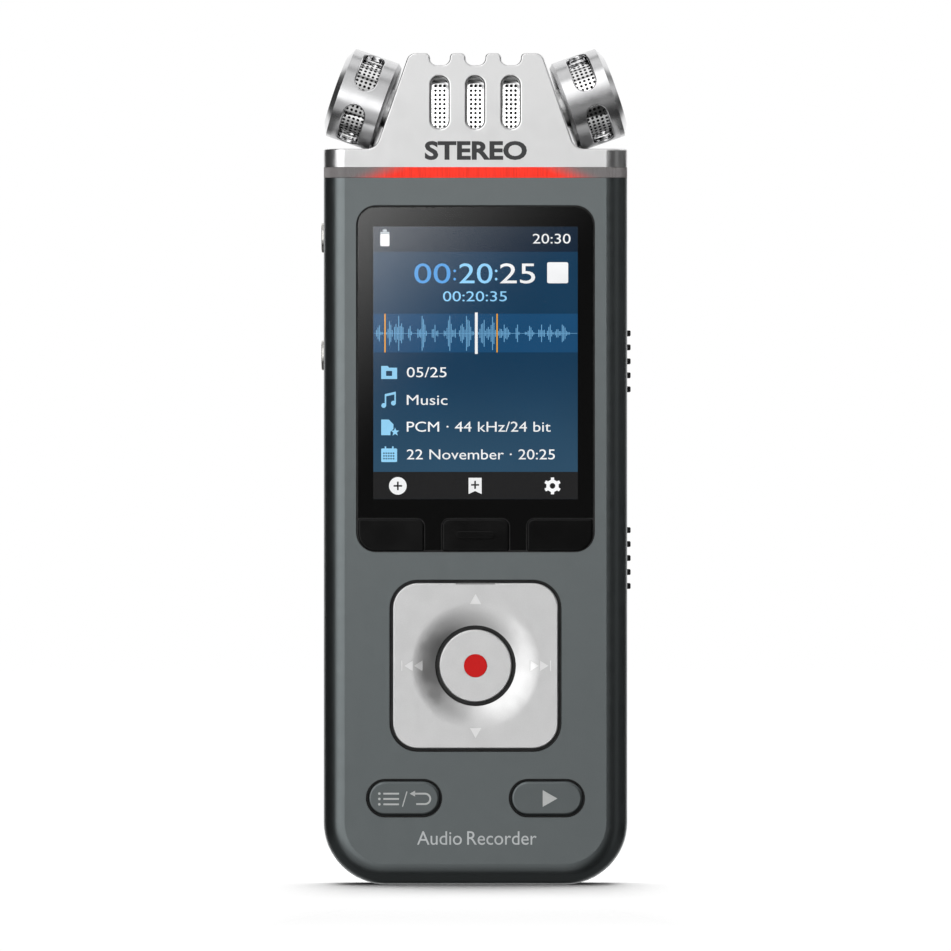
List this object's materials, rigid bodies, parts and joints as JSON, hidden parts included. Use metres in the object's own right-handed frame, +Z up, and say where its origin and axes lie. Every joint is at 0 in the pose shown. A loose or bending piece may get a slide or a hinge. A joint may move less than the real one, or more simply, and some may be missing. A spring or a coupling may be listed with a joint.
{
  "type": "handheld voice recorder",
  "caption": "Slim upright voice recorder with two tilted ring microphones, a colour display, soft keys, a four-way pad with a record button, and side slides.",
  "frame": {"origin": "centre of the flat base: middle of the case's width and depth, at the lowest face", "axes": "+Z up the body towards the microphones, -Y out of the display side, +X to the user's right when facing the display"},
  "size_m": [0.0465, 0.0184, 0.1254],
  "materials": {
    "case_paint": "fine grey paint over bead-blasted metal, satin",
    "head_metal": "bead-blasted face, polished bevels",
    "ring_metal": "turned and bead-blasted, polished bevels",
    "mesh_metal": "perforated and bright plated",
    "band_lens": "frosted light guide with fine vertical ribs",
    "window_clear": "flush hard-coated window",
    "panel_black": "gloss black",
    "lcd_face": "lit colour display",
    "backlight_white": "diffuser",
    "tin_plate": "folded tin plate",
    "key_silver": "satin silver paint",
    "record_red": "gloss red inlay",
    "board_green": "solder mask",
    "chip_black": "moulded package",
    "dome_steel": "spring steel",
    "film_amber": "polyimide film",
    "battery_foil": "laminated foil pouch",
    "foam_grey": "closed-cell foam",
    "rubber_black": "moulded rubber",
    "capsule_metal": "drawn can",
    "socket_black": "moulded socket body",
    "collar_steel": "bright plated",
    "knob_black": "fine matt texture",
    "brass": "turned",
    "screw_steel": "black zinc plated",
    "led_lens": "clear lens",
    "speaker_cloth": "woven acoustic cloth"
  },
  "bodies": {
    "root": {"front_cover": "case_paint", "rear_cover": "case_paint", "case_screws": "screw_steel", "tripod_insert": "brass", "light_band": "band_lens", "mic_head": "head_metal", "center_mesh": "mesh_metal", "center_cloth": "speaker_cloth", "center_mic_capsule": "capsule_metal", "center_mic_boot": "rubber_black", "led_board": "board_green", "status_leds": "led_lens", "mic_flex": "film_amber", "display_window": "window_clear", "window_mask": "panel_black", "lcd_panel": "lcd_face", "lcd_backlight": "backlight_white", "lcd_frame": "tin_plate", "lcd_flex": "film_amber", "main_pcb": "board_green", "dome_switches": "dome_steel", "dome_sheet": "film_amber", "chips": "chip_black", "shield_can": "tin_plate", "battery_cell": "battery_foil", "battery_pad": "foam_grey", "speaker_driver": "socket_black", "speaker_gasket": "foam_grey", "speaker_mesh": "speaker_cloth", "headphone_jack": "socket_black", "mic_jack": "socket_black", "headphone_collar": "collar_steel", "mic_collar": "collar_steel", "slide_switch_bodies": "tin_plate", "usb_socket": "tin_plate", "usb_tongue": "socket_black", "mic_ring_left": "ring_metal", "mic_cap_left": "mesh_metal", "mic_mesh_left": "mesh_metal", "mic_capsule_left": "capsule_metal", "mic_boot_left": "rubber_black", "mic_ring_right": "ring_metal", "mic_cap_right": "mesh_metal", "mic_mesh_right": "mesh_metal", "mic_capsule_right": "capsule_metal", "mic_boot_right": "rubber_black"},
    "soft_left": {"soft_key_left": "panel_black"},
    "soft_center": {"soft_key_center": "panel_black"},
    "soft_right": {"soft_key_right": "panel_black"},
    "menu": {"menu_key": "case_paint"},
    "play": {"play_key": "case_paint"},
    "record": {"record_button": "key_silver", "record_dot": "record_red"},
    "nav_pivot": {"nav_pivot_ring": "socket_black"},
    "nav": {"nav_pad": "key_silver"},
    "power_switch": {"power_switch_knob": "knob_black"},
    "hold_switch": {"hold_switch_knob": "knob_black"}
  },
  "joints": [
    {"name": "soft_left_press", "type": "slide", "parent": "root", "child": "soft_left", "axis": [0, 1, 0], "range_m": [0, 0.0004], "stiffness_N_per_m": 400},
    {"name": "soft_center_press", "type": "slide", "parent": "root", "child": "soft_center", "axis": [0, 1, 0], "range_m": [0, 0.0004], "stiffness_N_per_m": 400},
    {"name": "soft_right_press", "type": "slide", "parent": "root", "child": "soft_right", "axis": [0, 1, 0], "range_m": [0, 0.0004], "stiffness_N_per_m": 400},
    {"name": "menu_press", "type": "slide", "parent": "root", "child": "menu", "axis": [0, 1, 0], "range_m": [0, 0.0004], "stiffness_N_per_m": 400},
    {"name": "play_press", "type": "slide", "parent": "root", "child": "play", "axis": [0, 1, 0], "range_m": [0, 0.0004], "stiffness_N_per_m": 400},
    {"name": "record_press", "type": "slide", "parent": "root", "child": "record", "axis": [0, 1, 0], "range_m": [0, 0.0004], "stiffness_N_per_m": 400},
    {"name": "nav_tilt_x", "type": "hinge", "parent": "root", "child": "nav_pivot", "pos_m": [0, -0.0065, 0.0328], "axis": [1, 0, 0], "range_deg": [-1.3, 1.3], "stiffness_Nm_per_rad": 0.3},
    {"name": "nav_tilt_z", "type": "hinge", "parent": "nav_pivot", "child": "nav", "pos_m": [0, -0.0065, 0.0328], "axis": [0, 0, 1], "range_deg": [-1.3, 1.3], "stiffness_Nm_per_rad": 0.3},
    {"name": "power_switch_slide", "type": "slide", "parent": "root", "child": "power_switch", "axis": [0, 0, 1], "range_m": [-0.002, 0.002]},
    {"name": "hold_switch_slide", "type": "slide", "parent": "root", "child": "hold_switch", "axis": [0, 0, 1], "range_m": [-0.002, 0.002]}
  ]
}
